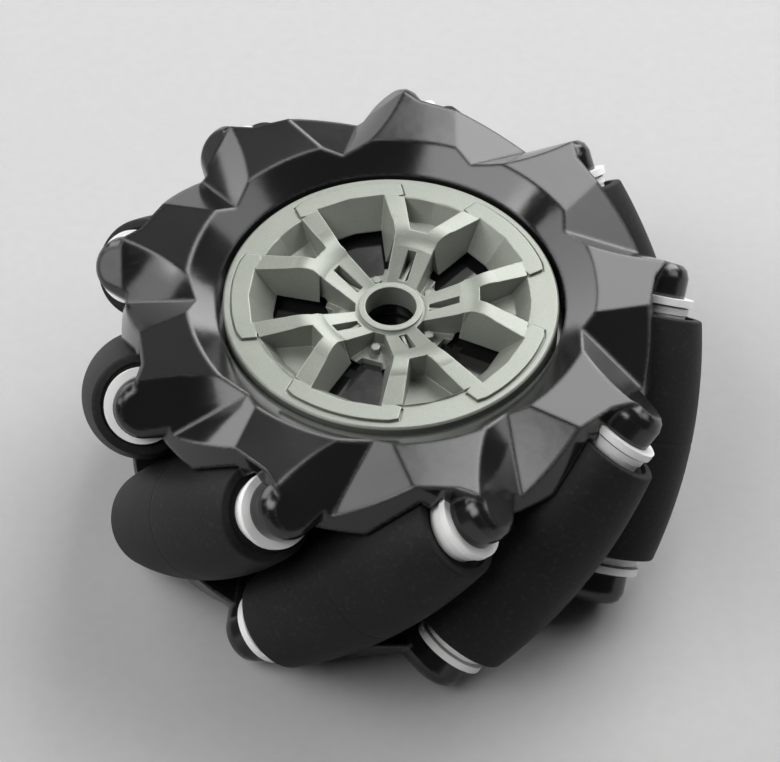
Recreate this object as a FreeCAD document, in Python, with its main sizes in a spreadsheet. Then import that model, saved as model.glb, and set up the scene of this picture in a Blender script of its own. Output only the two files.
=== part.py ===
import FreeCAD
import Part
import Sketcher
import os

# A mecanum wheel lying flat: its axis is Z, the covered front side is up.
# The origin is the centre of the wheel, where the two frame halves meet.
# Lengths are in millimetres and angles in degrees.

doc = FreeCAD.newDocument("mecanum_wheel")
sheet = doc.addObject("Spreadsheet::Sheet", "sheet")
SIZES = {
    # Whole wheel and rollers
    "wheel_radius": 48.5,  # rolling circle of the nine rubber rollers
    "roller_count": 9,  # rollers, and lobes on each frame
    "roller_skew": 45,  # angle of a roller pin from the wheel axis
    "roller_fill": 0.7546524976,  # fattest roller as a part of half the pitch between two pins
    "half_pitch_sin": "=sin(180 deg / roller_count)",  # half the pitch, per pin circle radius
    # Wheel axis to the middle of a roller pin: the fattest rollers then just clear each other
    "pin_circle_radius": "=wheel_radius / (1 + roller_fill * half_pitch_sin)",
    "first_roller_angle": 25.11,  # azimuth of roller 1
    "roller_step": "=360 / roller_count",  # azimuth from one roller to the next
    "skew_sin": "=sin(roller_skew * 1 deg)",  # run of a pin round the wheel per length
    "skew_cos": "=cos(roller_skew * 1 deg)",  # rise of a pin per length

    # Rubber tread
    "tread_half_length": 19.04,  # middle of the roller to the end of its rubber
    "tread_mid_radius": "=wheel_radius - pin_circle_radius",  # fattest radius of a roller
    # Wheel axis to the pin at the end of the rubber
    "tread_end_reach": "=sqrt(pin_circle_radius ^ 2 + (skew_sin * tread_half_length) ^ 2)",
    "tread_end_radius": "=wheel_radius - tread_end_reach",  # radius at the end of the rubber
    "tread_drop": "=tread_mid_radius - tread_end_radius",  # fall of the barrel from middle to end
    # Lengthwise curve of the barrel
    "barrel_radius": "=(tread_half_length ^ 2 + tread_drop ^ 2) / (2 * tread_drop)",
    "tread_edge": 0.4,  # bevel at the rim of the rubber end
    "tread_end_lip": 1.35,  # width of the raised rim on the rubber end
    "tread_end_recess": 0.75,  # depth of the rubber end inside its rim

    # Nylon core of a roller, steel pin and nylon washers
    "pin_radius": 1.5,  # steel roller pin
    "pin_press_gap": 0.01,  # around a pin in its ear
    "roller_running_gap": 0.06,  # around a pin in the core that turns on it
    "core_bore_radius": "=pin_radius + roller_running_gap",  # bore of a roller core
    "core_radius": 5.0,  # core tube inside the rubber
    "core_disc_start": 19.4,  # middle of the roller to the inner face of its end disc
    "core_disc_thick": 1.05,  # end disc of a core
    "core_disc_radius": 5.3,  # end disc of a core
    "core_half_length": "=core_disc_start + core_disc_thick",  # middle of the roller to its very end
    "roller_end_gap": 0.3,  # between a roller end and its washer
    "washer_thick": 1.15,  # nylon washer against an ear
    "washer_radius": 5.8,  # outer radius of a washer
    "washer_bore_gap": 0.1,  # around a pin in its washer
    "washer_start": "=core_half_length + roller_end_gap",  # inner face of a washer along the pin
    "ear_start": "=washer_start + washer_thick",  # face of an ear along the pin
    "pin_hole_depth": 4.1,  # blind pin hole in an ear
    "pin_end_gap": 0.1,  # pin end to the bottom of its hole
    "pin_hole_end": "=ear_start + pin_hole_depth",  # bottom of a pin hole along the pin
    "pin_half_length": "=pin_hole_end - pin_end_gap",  # half of a pin
    "pin_chamfer": 0.3,  # bevel on a pin end

    # Frame, the same lobes front and rear
    "frame_top": 22.35,  # mid plane to the flat of a lobe
    "flange_under": 13.9,  # mid plane to the underside of the flange
    "flange_reach": 0.8,  # flange edge beyond the pin circle
    "flange_top_radius": "=pin_circle_radius + flange_reach",  # outer edge of the flange at its top
    "flange_draft_run": 2.1,  # outward run of the flange edge down to its underside
    "bowl_inset": 11.85,  # recess wall inside the pin circle
    "bowl_radius": "=pin_circle_radius - bowl_inset",  # wall of the recess for the cover
    "bowl_rim": 19.0,  # mid plane to the start of the flared bowl
    "bowl_flare": 4.5,  # outward run of the flared bowl
    "bowl_top_radius": "=bowl_radius + bowl_flare",  # flared bowl at the top of the frame
    "drum_gap": 1.6,  # drum to the fattest part of a roller
    "drum_radius": "=pin_circle_radius - tread_mid_radius - drum_gap",  # outside of the drum
    "gusset_start": 9.5,  # mid plane to the foot of the gusset under the flange
    "gusset_run": 4.0,  # gusset out from the drum
    "gusset_radius": "=drum_radius + gusset_run",  # reach of the gusset at the flange
    "floor_top": 13.5,  # mid plane to the floor of the recess
    "floor_thick": 3.0,  # floor plate
    "floor_under": "=floor_top - floor_thick",  # mid plane to the underside of the floor plate
    "drum_wall": 2.4,  # wall of the drum
    "cavity_radius": "=drum_radius - drum_wall",  # inside of the drum

    # Lobe corner and ear
    "crease_inset": 0.61,  # crease end inside the flange edge
    "crease_x": "=flange_top_radius - crease_inset",  # outer end of the crease, out from the axis
    "crease_y": 6.87,  # outer end of the crease, along the rim
    "waist_inset": 1.05,  # waist inside the flange edge
    "waist_x": "=flange_top_radius - waist_inset",  # lobe edge above the roller axis
    "waist_y": 13.0,  # where the lobe edge starts to swing out
    "ridge_inset": 0.05,  # ridge end inside the flange edge
    "ridge_x": "=flange_top_radius - ridge_inset",  # outer end of the ridge, out from the axis
    "ridge_y": 16.26,  # ridge of a lobe, along the rim
    "corner_tail_swing": 0.4,  # outward swing of the lobe corner past the ridge
    "corner_root_inset": 5.05,  # lobe corner root inside the pin circle
    "corner_root_x": "=pin_circle_radius - corner_root_inset",  # inner side of the lobe corner
    "corner_tail_y": 18.6,  # far side of the lobe corner before the end facet is cut
    "ear_axis_offset": 0.3,  # ear round centre inboard of the pin
    "ear_radius": 4.65,  # round end of an ear
    "ear_straight": 3.2,  # straight part of an ear along the pin
    "ear_shoulder": 1.2,  # first slope of the rounded ear end, along the pin
    "ear_shoulder_taper": 22,  # that slope
    "ear_nose": 1.2,  # second slope, before the end facet is cut
    "ear_nose_taper": 52,  # that slope
    # Ear between the two slopes
    "ear_shoulder_radius": "=ear_radius - ear_shoulder * tan(ear_shoulder_taper * 1 deg)",
    "ear_root_inset": 10.95,  # ear root inside the pin circle
    "ear_root_x": "=pin_circle_radius - ear_root_inset",  # inner side of an ear

    # Notch between the end facet of one lobe and the slope of the next
    "notch_inset": 8.58,  # inner end of the valley inside the pin circle
    "notch_radius": "=pin_circle_radius - notch_inset",  # inner end of the valley, from the wheel axis
    "notch_height": 21.06,  # height of that end
    "notch_heading": -24.73,  # plan direction of the valley outwards
    "notch_pitch": 22.4,  # fall of the valley outwards
    "notch_inner": -3.0,  # first section of the cut along the valley
    "notch_middle": 13.35,  # middle section, under the outer end of the ridge
    "notch_outer": 20.0,  # last section, clear of the ear
    "notch_inner_lean": 65.8,  # end facet from upright at the first section
    "notch_outer_lean": 46.1,  # end facet from upright from the middle section on
    "notch_slope_rise": 17.45,  # slope facet from level, across the valley
    "notch_end_reach": 16,  # length of the cut up the end facet
    "notch_slope_reach": 25,  # length of the cut up the slope facet

    # Room for a roller in the frames
    "roller_room": 0.6,  # around the barrel
    "roller_end_room": 0.45,  # beyond the rubber end, before the washer pocket
    "washer_room": 0.6,  # around a washer
    "roller_room_start": 6,  # start of the cleared length, below the middle

    # Screw bosses and screws
    "screw_count": 6,  # screws that hold the two frames together
    "screw_circle_radius": 16,  # wheel axis to a screw
    "boss_radius": 4.2,  # boss around a screw
    "screw_radius": 1.5,  # screw shank
    "screw_pilot_gap": 0.02,  # around a screw in the front boss
    "screw_pass_gap": 0.2,  # around a screw in the rear boss
    "screw_reach": 7.0,  # end of a screw beyond the mid plane
    "screw_hole_spare": 1.2,  # hole beyond the end of a screw
    "screw_head_radius": 2.8,  # screw head
    "screw_head_height": 2.2,  # screw head
    "screw_head_wall": 1.3,  # straight side of a screw head
    "screw_head_crown": 1.95,  # flat of a screw head
    "screw_cross_length": 3.2,  # cross recess of a screw, arm to arm
    "screw_cross_width": 0.7,  # cross recess of a screw, one arm across
    "screw_cross_depth": 1.2,  # depth of the cross recess

    # Hub, hex socket and axle bore
    "axle_bore_radius": 2.15,  # bore for the axle screw
    "spigot_radius": 8.0,  # rear hub tube that centres the front frame
    "spigot_gap": 0.1,  # around the spigot in the front frame
    "spigot_end_gap": 0.2,  # between the spigot end and the front floor
    "spigot_socket_wall": 2.9,  # wall of the front socket
    "spigot_socket_start": 5.0,  # mid plane to the mouth of the front socket
    "front_hole_radius": 4.6,  # hole in the front floor over the axle screw
    "rear_hub_radius": 9.2,  # rear hub round the hex socket
    "rear_hub_end": 20.0,  # mid plane to the rear face of the hub
    "hex_across_flats": 12.1,  # hex socket for the motor coupling
    "hex_step": "=360 / 6",  # azimuth from one corner of the socket to the next
    "hex_corner_radius": "=hex_across_flats / 2 / cos(hex_step / 2 * 1 deg)",  # its corners
    "hex_turn": 30,  # azimuth of the first corner of the socket
    "hex_depth": 8.0,  # depth of the hex socket

    # Cover
    "cover_gap": 0.95,  # cover to the wall of the recess
    "cover_radius": "=bowl_radius - cover_gap",  # outside of the cover
    "cover_under": "=floor_top",  # the cover rests on the floor of the recess
    "cover_edge": 0.3,  # bevel at the outer top edge
    "cover_ring_top": 19.17,  # top of the outer ring
    "spoke_edge_inset": 4.25,  # ring inner edge inside the cover edge
    "cover_spoke_edge": "=cover_radius - spoke_edge_inset",  # outer end of the spokes at the ring
    "cover_band_top": 19.55,  # top of the window bands at the ring
    "crest_out_inset": 9.25,  # crest end inside the cover edge
    "crest_out_radius": "=cover_radius - crest_out_inset",  # outer end of the rounded crest
    "crest_out_top": 20.38,  # top there
    "crest_radius": 6.0,  # curve of the crest
    "crest_in_radius": 10.9,  # inner end of the rounded crest
    "crest_in_top": 19.45,  # top there
    "stem_root_radius": 5.3,  # stem at the hub ring
    "stem_root_top": 17.0,  # top there
    "hub_ring_radius": 4.95,  # outside of the hub ring
    "hub_ring_top": 17.5,  # top of the hub ring
    "hub_hole_radius": 3.95,  # hole in the hub
    "cover_web_under": 15.2,  # underside of the cover between rim and hub
    "cover_rim_wall": 1.95,  # wall of the cover rim
    "cover_rim_inner": "=cover_radius - cover_rim_wall",  # inside of the rim that stands on the floor
    "cover_hub_foot": 9.6,  # foot of the cover hub on the floor
    "cover_hub_flare": 10.7,  # top of the flare of the hub foot
    "spoke_count": 5,  # spokes and windows
    "spoke_step": "=360 / spoke_count",  # azimuth from one spoke to the next
    "half_step": "=spoke_step / 2",  # azimuth of the first window

    # Window band and its groove
    "band_inset": 1.39,  # band end inside the cover edge
    "band_radius": "=cover_radius - band_inset",  # outer edge of a window band
    "band_root_inset": 5.55,  # band end start inside the cover edge
    "band_root_u": "=cover_radius - band_root_inset",  # start of the raised band end
    "band_root_v": 8.42,  # half width of the band there
    "band_corner_inset": 3.3,  # band corner inside the cover edge
    "band_corner_u": "=cover_radius - band_corner_inset",  # side end of the rounded band corner
    "band_corner_v": 8.68,  # half width there
    "band_nose_v": 7.5,  # half width where the outer edge starts
    "band_nose_u": "=sqrt(band_radius ^ 2 - band_nose_v ^ 2)",  # outer edge there
    "groove_width": 0.3,  # thin groove round the band end
    "groove_depth": 0.3,  # depth of that groove
    "groove_radius": "=band_radius + groove_width",  # outer edge of the groove
    "groove_nose_v": "=band_nose_v + groove_width / 2",  # half width where the groove edge starts
    "groove_nose_u": "=sqrt(groove_radius ^ 2 - groove_nose_v ^ 2)",  # groove edge there
    "band_foot": 18.5,  # root of the raised band inside the ring

    # Window, a tapered cut from the mouth plane to the foot plane
    "mouth_plane": 21.2,  # plane of the mouth outlines, above the cover
    "foot_plane": 13.4,  # plane of the foot outlines, below the cover
    "window_mouth_mid_inset": 2.55,  # mouth middle inside the cover edge
    "window_mouth_mid": "=cover_radius - window_mouth_mid_inset",  # mouth, outer edge at the middle
    "window_mouth_inset": 3.3,  # mouth corner inside the cover edge
    "window_mouth_u": "=cover_radius - window_mouth_inset",  # mouth, outer corner
    "window_mouth_v": 6.15,  # mouth, outer corner half width
    "window_mouth_kink_u": 12.12,  # mouth, kink
    "window_mouth_kink_v": 4.75,  # mouth, kink half width
    "window_mouth_in_v": 2.95,  # mouth, half width at the ledge
    "window_foot_mid_inset": 9.15,  # foot middle inside the cover edge
    "window_foot_mid": "=cover_radius - window_foot_mid_inset",  # foot, outer edge at the middle
    "window_foot_inset": 9.6,  # foot corner inside the cover edge
    "window_foot_u": "=cover_radius - window_foot_inset",  # foot, outer corner
    "window_foot_v": 3.35,  # foot, outer corner half width
    "window_foot_kink_u": 9.95,  # foot, kink
    "window_foot_kink_v": 1.85,  # foot, kink half width
    "window_foot_in_v": 1.4,  # foot, half width at the ledge
    "ledge_u": 9.0,  # inner end of the through window
    "ledge_top": 14.65,  # ledge that carries a nut
    "ledge_in_u": 5.45,  # inner end of the ledge
    "ledge_in_v": 0.85,  # half width there
    "ledge_kink_u": 11.0,  # outer end of the ledge cut
    "ledge_kink_v": 3.95,  # half width there

    # Spoke pocket
    "pocket_floor": 16.3,  # floor of a spoke pocket
    "pocket_mouth_in_inset": 12.25,  # mouth inner edge inside the cover edge
    "pocket_mouth_in_u": "=cover_radius - pocket_mouth_in_inset",  # mouth, inner edge
    "pocket_mouth_in_v": 1.44,  # mouth, inner half width
    "pocket_mouth_inset": 3.45,  # mouth corner inside the cover edge
    "pocket_mouth_u": "=cover_radius - pocket_mouth_inset",  # mouth, outer corner
    "pocket_mouth_v": 5.4,  # mouth, outer half width
    "pocket_mouth_mid_inset": 2.75,  # mouth middle inside the cover edge
    "pocket_mouth_mid": "=cover_radius - pocket_mouth_mid_inset",  # mouth, outer edge at the middle
    "pocket_foot_in_inset": 11.85,  # floor inner edge inside the cover edge
    "pocket_foot_in_u": "=cover_radius - pocket_foot_in_inset",  # floor, inner edge
    "pocket_foot_in_v": 1.1,  # floor, inner half width
    "pocket_foot_inset": 7.0,  # floor corner inside the cover edge
    "pocket_foot_u": "=cover_radius - pocket_foot_inset",  # floor, outer corner
    "pocket_foot_v": 3.9,  # floor, outer half width
    "pocket_foot_mid_inset": 6.45,  # floor middle inside the cover edge
    "pocket_foot_mid": "=cover_radius - pocket_foot_mid_inset",  # floor, outer edge at the middle

    # Stem slot with its rib, nuts and pegs
    "slot_in": 5.9,  # inner end of a stem slot
    "slot_out": 10.5,  # outer end of a stem slot
    "slot_width": 1.4,  # stem slot
    "slot_floor": 16.2,  # floor of a stem slot
    "rib_width": 0.5,  # rib in a stem slot
    "rib_top": 17.0,  # top of that rib
    "nut_circle_radius": 7.25,  # wheel axis to a nut
    "nut_radius": 0.78,  # nut, centre to corner
    "nut_top": 15.94,  # top of a nut
    "peg_circle_inset": 6.25,  # peg inside the cover edge
    "peg_circle_radius": "=cover_radius - peg_circle_inset",  # wheel axis to a cover peg
    "peg_radius": 1.45,  # cover peg
    "peg_gap": 0.05,  # around a peg in the floor
    "peg_length": 2.6,  # peg below the floor of the recess
}
row = 0
for name, amount in SIZES.items():
    row += 1
    sheet.set("A%d" % row, name)
    sheet.set("B%d" % row, str(amount))
    sheet.setAlias("B%d" % row, name)
doc.recompute()


def placement(base, turns):
    """Text of a placement: base is three texts, turns are (axis, angle) applied right to left."""
    spins = " * ".join("rotation(vector(%s); %s)" % (axis, angle) for axis, angle in turns)
    return "placement(vector(%s); %s)" % ("; ".join(base), spins)


def value(owner, text):
    """Number that an expression gives now."""
    return float(owner.evalExpression(text))


def expand(text):
    """A short expression with its names pointed at the sheet."""
    words = []
    word = ""
    for letter in text + " ":
        if letter.isalnum() or letter == "_":
            word += letter
        else:
            if "_" in word:
                word = "sheet." + word
            words.append(word + letter)
            word = ""
    return "".join(words).strip()


def sketch(body, name, where, rows):
    """Closed outline through rows of (x, y) or (x, y, radius of the arc that starts there).

    A positive radius bulges to the right of travel.
    """
    item = body.newObject("Sketcher::SketchObject", name)
    plane = [f for f in body.Origin.OriginFeatures if f.Role == "XY_Plane"][0]
    item.AttachmentSupport = (plane, [""])
    item.MapMode = "FlatFace"
    if where:
        item.setExpression("AttachmentOffset", where)
    draw(item, rows)
    return item


def draw(item, rows):
    """Lines and arcs through the rows, each point held by the sheet."""
    texts = [(expand(row[0]), expand(row[1])) for row in rows]
    spots = [FreeCAD.Vector(value(item, x), value(item, y), 0) for x, y in texts]
    count = len(rows)
    for i in range(count):
        a = spots[i]
        b = spots[(i + 1) % count]
        if len(rows[i]) == 3:
            text = expand(rows[i][2])
            radius = value(item, text)
            half = (b - a).Length / 2
            side = FreeCAD.Vector((b - a).y, -(b - a).x, 0).normalize()
            rise = abs(radius) - (radius ** 2 - half ** 2) ** 0.5
            mid = (a + b) / 2 + side * (rise if radius > 0 else -rise)
            item.addGeometry(Part.Arc(a, mid, b), False)
        else:
            item.addGeometry(Part.LineSegment(a, b), False)
    starts = []
    for i in range(count):
        arc = len(rows[i]) == 3
        first = 1
        if arc:
            geometry = item.Geometry[i]
            if (geometry.StartPoint - spots[i]).Length > (geometry.EndPoint - spots[i]).Length:
                first = 2
        starts.append((i, first))
    for i in range(count):
        line, first = starts[i]
        following, following_first = starts[(i + 1) % count]
        item.addConstraint(Sketcher.Constraint("Coincident", line, 3 - first, following, following_first))
    for i in range(count):
        line, first = starts[i]
        for kind, text, number in (("DistanceX", texts[i][0], spots[i].x),
                                   ("DistanceY", texts[i][1], spots[i].y)):
            spot = item.addConstraint(Sketcher.Constraint(kind, line, first, number))
            item.setExpression("Constraints[%d]" % spot, text)
        if len(rows[i]) == 3:
            text = expand(rows[i][2])
            spot = item.addConstraint(Sketcher.Constraint("Radius", line, abs(value(item, text))))
            item.setExpression("Constraints[%d]" % spot, "abs(%s)" % text)


def disc(body, name, where, x, y, radius):
    """Outline of one circle at (x, y)."""
    item = body.newObject("Sketcher::SketchObject", name)
    plane = [f for f in body.Origin.OriginFeatures if f.Role == "XY_Plane"][0]
    item.AttachmentSupport = (plane, [""])
    item.MapMode = "FlatFace"
    item.setExpression("AttachmentOffset", where)
    texts = [expand(x), expand(y), expand(radius)]
    numbers = [value(item, text) for text in texts]
    centre = FreeCAD.Vector(numbers[0], numbers[1], 0)
    item.addGeometry(Part.Circle(centre, FreeCAD.Vector(0, 0, 1), numbers[2]), False)
    held = (Sketcher.Constraint("DistanceX", 0, 3, numbers[0]),
            Sketcher.Constraint("DistanceY", 0, 3, numbers[1]),
            Sketcher.Constraint("Radius", 0, numbers[2]))
    for constraint, text in zip(held, texts):
        spot = item.addConstraint(constraint)
        item.setExpression("Constraints[%d]" % spot, text)
    return item


def level(height, turn="0"):
    """Placement text of a level plane at a height, turned about the wheel axis."""
    return placement(("0", "0", expand(height)), [("0; 0; 1", expand(turn))])


# Upright plane: sketch X is out from the axis, sketch Y is up.
UPRIGHT = placement(("0", "0", "0"), [("1; 0; 0", "90")])
# Plane of a pin: sketch X is out from the wheel axis, sketch Y runs along the pin.
ALONG_PIN = placement((expand("pin_circle_radius"), "0", "0"), [("1; 0; 0", expand("90 - roller_skew"))])


def ear_plane(along):
    """Plane across a pin: sketch X is out from the wheel axis, sketch Y runs down."""
    return placement(("0", expand("(%s) * skew_sin" % along), expand("(%s) * skew_cos" % along)),
                     [("-1; 0; 0", expand("roller_skew"))])


def ear_step(body, name, along, radius, length, taper=""):
    """One length of an ear, rounded round its pin and straight on the wheel side."""
    plan = sketch(body, name + "_plan", ear_plane(along), [
        ("ear_root_x", "0 - " + radius),
        ("pin_circle_radius - ear_axis_offset", "0 - " + radius, radius),
        ("pin_circle_radius - ear_axis_offset + " + radius, "0", radius),
        ("pin_circle_radius - ear_axis_offset", radius),
        ("ear_root_x", radius),
    ])
    return pad(body, name, plan, length, taper=taper)


def across_valley(along):
    """Plane across a valley: sketch X runs along the rim, sketch Y is up, the normal runs out."""
    reach = "(notch_radius + %s * cos(notch_pitch * 1 deg) * cos(notch_heading * 1 deg))" % along
    side = "(%s * cos(notch_pitch * 1 deg) * sin(notch_heading * 1 deg))" % along
    fall = "(notch_height - %s * sin(notch_pitch * 1 deg))" % along
    return placement((expand(reach), expand(side), expand(fall)), [
        ("0; 0; 1", expand("notch_heading")), ("0; 1; 0", expand("90 + notch_pitch")), ("0; 0; 1", "90")])


def notch_section(body, name, along, lean):
    """Triangle of the notch across the valley, its point on the valley line."""
    return sketch(body, name, across_valley(along), [
        ("0", "0"),
        ("notch_slope_reach * cos(notch_slope_rise * 1 deg)",
         "notch_slope_reach * sin(notch_slope_rise * 1 deg)"),
        ("0 - notch_end_reach * sin(%s * 1 deg)" % lean,
         "notch_end_reach * cos(%s * 1 deg)" % lean),
    ])


def new_body(name):
    """Empty body that may hold several solids."""
    body = doc.addObject("PartDesign::Body", name)
    body.Label = name
    body.AllowCompound = True
    return body


def finish(body, item):
    """Make a feature the tip and compute it."""
    body.Tip = item
    doc.recompute()
    bad = [state for state in item.State if state in ("Invalid", "Error")]
    if bad or item.Shape.isNull() or not item.Shape.isValid():
        raise RuntimeError("feature %s is not good: %s" % (item.Name, item.State))
    return item


def pad(body, name, profile, length, taper="", both=False, reverse=False):
    """Material up from a profile."""
    item = body.newObject("PartDesign::Pad", name)
    item.Profile = profile
    item.setExpression("Length", expand(length))
    if taper:
        item.setExpression("TaperAngle", expand(taper))
    item.Reversed = reverse
    return finish(body, item)


def pocket(body, name, profile, length, reverse=False):
    """Cut down from a profile, or up when reversed."""
    item = body.newObject("PartDesign::Pocket", name)
    item.Profile = profile
    item.setExpression("Length", expand(length))
    item.Reversed = reverse
    return finish(body, item)


def turned(body, name, profile, kind="PartDesign::Revolution"):
    """Full turn of a profile about its own Y axis."""
    item = body.newObject(kind, name)
    item.Profile = profile
    item.ReferenceAxis = (profile, ["V_Axis"])
    item.Angle = 360
    return finish(body, item)


def loft_cut(body, name, mouth, rest):
    """Straight-sided cut from one outline through the others."""
    item = body.newObject("PartDesign::SubtractiveLoft", name)
    item.Profile = mouth
    item.Sections = rest
    item.Ruled = True
    return finish(body, item)


def around(body, name, items, count):
    """Repeat features about the wheel axis."""
    item = body.newObject("PartDesign::PolarPattern", name)
    item.Originals = items
    axis = [f for f in body.Origin.OriginFeatures if f.Role == "Z_Axis"][0]
    item.Axis = (axis, [""])
    item.Angle = 360
    item.setExpression("Occurrences", "sheet.%s" % count)
    return finish(body, item)


def frame(name, centre, hole_angle):
    """One frame half with its middle at Z = 0 and its face up, lobe 1 on the X axis.

    centre lists the profile of the hub, from the cavity in to the floor hole.
    """
    body = new_body(name)
    profile = sketch(body, name + "_profile", UPRIGHT, centre + [
        ("bowl_radius", "floor_top"),
        ("bowl_radius", "bowl_rim"),
        ("bowl_top_radius", "frame_top"),
        ("flange_top_radius", "frame_top"),
        ("flange_top_radius + flange_draft_run", "flange_under"),
        ("gusset_radius", "flange_under"),
        ("drum_radius", "gusset_start"),
        ("drum_radius", "0"),
        ("cavity_radius", "0"),
        ("cavity_radius", "floor_under"),
    ])
    turned(body, name + "_drum", profile)

    corner = sketch(body, name + "_corner_plan", level("frame_top"), [
        ("corner_root_x", "crease_y"),
        ("crease_x", "crease_y"),
        ("waist_x", "waist_y"),
        ("ridge_x", "ridge_y"),
        ("ridge_x + corner_tail_swing", "corner_tail_y"),
        ("corner_root_x", "corner_tail_y"),
    ])
    corner_pad = pad(body, name + "_corner", corner, "frame_top - flange_under", reverse=True)
    ear = ear_step(body, name + "_ear", "ear_start", "ear_radius", "ear_straight")
    shoulder = ear_step(body, name + "_ear_shoulder", "ear_start + ear_straight", "ear_radius",
                        "ear_shoulder", "0 - ear_shoulder_taper")
    nose = ear_step(body, name + "_ear_nose", "ear_start + ear_straight + ear_shoulder",
                    "ear_shoulder_radius", "ear_nose", "0 - ear_nose_taper")
    around(body, name + "_lobes", [corner_pad, ear, shoulder, nose], "roller_count")

    sections = [notch_section(body, name + "_notch_inner", "notch_inner", "notch_inner_lean"),
                notch_section(body, name + "_notch_middle", "notch_middle", "notch_outer_lean"),
                notch_section(body, name + "_notch_outer", "notch_outer", "notch_outer_lean")]
    notch_cut = loft_cut(body, name + "_notch", sections[0], sections[1:])
    room = sketch(body, name + "_roller_room_plan", ALONG_PIN, [
        ("0", "0 - roller_room_start"),
        ("tread_mid_radius + roller_room", "0 - roller_room_start"),
        ("tread_mid_radius + roller_room", "0", "barrel_radius"),
        ("tread_end_radius + roller_room", "tread_half_length"),
        ("tread_end_radius + roller_room", "tread_half_length + roller_end_room"),
        ("washer_radius + washer_room", "tread_half_length + roller_end_room"),
        ("washer_radius + washer_room", "ear_start"),
        ("pin_radius + pin_press_gap", "ear_start"),
        ("pin_radius + pin_press_gap", "pin_hole_end"),
        ("0", "pin_hole_end"),
    ])
    room_cut = turned(body, name + "_roller_room", room, "PartDesign::Groove")
    around(body, name + "_notches", [notch_cut, room_cut], "roller_count")

    boss = disc(body, name + "_boss_plan", level("0"), "screw_circle_radius", "0", "boss_radius")
    boss_pad = pad(body, name + "_boss", boss, "floor_under + floor_thick / 2")
    around(body, name + "_bosses", [boss_pad], "screw_count")
    return body


front = frame("front_frame", [
    ("spigot_radius + spigot_gap + spigot_socket_wall", "floor_under"),
    ("spigot_radius + spigot_gap + spigot_socket_wall", "spigot_socket_start"),
    ("spigot_radius + spigot_gap", "spigot_socket_start"),
    ("spigot_radius + spigot_gap", "floor_under"),
    ("front_hole_radius", "floor_under"),
    ("front_hole_radius", "floor_top"),
], "0")
hole = disc(front, "front_frame_pilot_plan", level("0"), "screw_circle_radius", "0",
            "screw_radius + screw_pilot_gap")
hole_cut = pocket(front, "front_frame_pilot", hole, "screw_reach + screw_hole_spare", reverse=True)
around(front, "front_frame_pilots", [hole_cut], "screw_count")
peg_hole = disc(front, "front_frame_peg_plan", level("floor_top", "0 - first_roller_angle"),
                "peg_circle_radius", "0", "peg_radius + peg_gap")
peg_cut = pocket(front, "front_frame_peg_hole", peg_hole, "floor_thick + 1")
around(front, "front_frame_peg_holes", [peg_cut], "spoke_count")
front.setExpression("Placement", placement(("0", "0", "0"), [("0; 0; 1", expand("first_roller_angle"))]))

rear = frame("rear_frame", [
    ("spigot_radius", "floor_under"),
    ("spigot_radius", "0 - floor_under + spigot_end_gap"),
    ("axle_bore_radius", "0 - floor_under + spigot_end_gap"),
    ("axle_bore_radius", "rear_hub_end"),
    ("rear_hub_radius", "rear_hub_end"),
    ("rear_hub_radius", "floor_top"),
], "0")
hole = disc(rear, "rear_frame_pass_plan", level("floor_top"), "screw_circle_radius", "0",
            "screw_radius + screw_pass_gap")
hole_cut = pocket(rear, "rear_frame_pass", hole, "floor_top")
around(rear, "rear_frame_passes", [hole_cut], "screw_count")
hex_rows = []
for corner_number in range(6):
    turn = "((%d * hex_step + hex_turn) * 1 deg)" % corner_number
    hex_rows.append(("hex_corner_radius * cos%s" % turn, "hex_corner_radius * sin%s" % turn))
hex_plan = sketch(rear, "rear_frame_hex_plan", level("rear_hub_end"), hex_rows)
pocket(rear, "rear_frame_hex", hex_plan, "hex_depth")
rear.setExpression("Placement", placement(("0", "0", "0"), [
    ("0; 0; 1", expand("first_roller_angle")), ("1; 0; 0", "180")]))

screws = new_body("frame_screws")
screw = sketch(screws, "screw_profile",
               placement((expand("screw_circle_radius"), "0", "0"), [("1; 0; 0", "90")]), [
                   ("0", "screw_reach"),
                   ("screw_radius", "screw_reach"),
                   ("screw_radius", "0 - floor_top"),
                   ("screw_head_radius", "0 - floor_top"),
                   ("screw_head_radius", "0 - floor_top - screw_head_wall"),
                   ("screw_head_crown", "0 - floor_top - screw_head_height"),
                   ("0", "0 - floor_top - screw_head_height"),
               ])
screw_turned = turned(screws, "screw", screw)
cross_rows = []
for corner_number in range(4):
    across = "screw_cross_width / 2"
    along = "screw_cross_length / 2"
    signs = ((1, 1), (-1, 1), (-1, -1), (1, -1))[corner_number]
    points = [(along, across), (across, across), (across, along)]
    if signs[0] * signs[1] < 0:
        points.reverse()
    for x, y in points:
        sign_x = "+" if signs[0] > 0 else "-"
        sign_y = "0 +" if signs[1] > 0 else "0 -"
        cross_rows.append(("screw_circle_radius %s %s" % (sign_x, x), "%s %s" % (sign_y, y)))
cross = sketch(screws, "screw_cross_plan", level("0 - floor_top - screw_head_height"), cross_rows)
cross_cut = pocket(screws, "screw_cross", cross, "screw_cross_depth", reverse=True)
around(screws, "screws_around", [screw_turned, cross_cut], "screw_count")
screws.setExpression("Placement", placement(("0", "0", "0"), [("0; 0; 1", expand("first_roller_angle"))]))

for side, sign in (("front_washers", ""), ("rear_washers", "0 - ")):
    washers = new_body(side)
    first = sign + "washer_start"
    last = sign + "ear_start"
    washer = sketch(washers, side + "_profile", ALONG_PIN, [
        ("pin_radius + washer_bore_gap", first),
        ("washer_radius", first),
        ("washer_radius", last),
        ("pin_radius + washer_bore_gap", last),
    ])
    washer_turned = turned(washers, side + "_one", washer)
    around(washers, side + "_around", [washer_turned], "roller_count")
    washers.setExpression("Placement", placement(("0", "0", "0"), [
        ("0; 0; 1", expand("first_roller_angle"))]))

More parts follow.
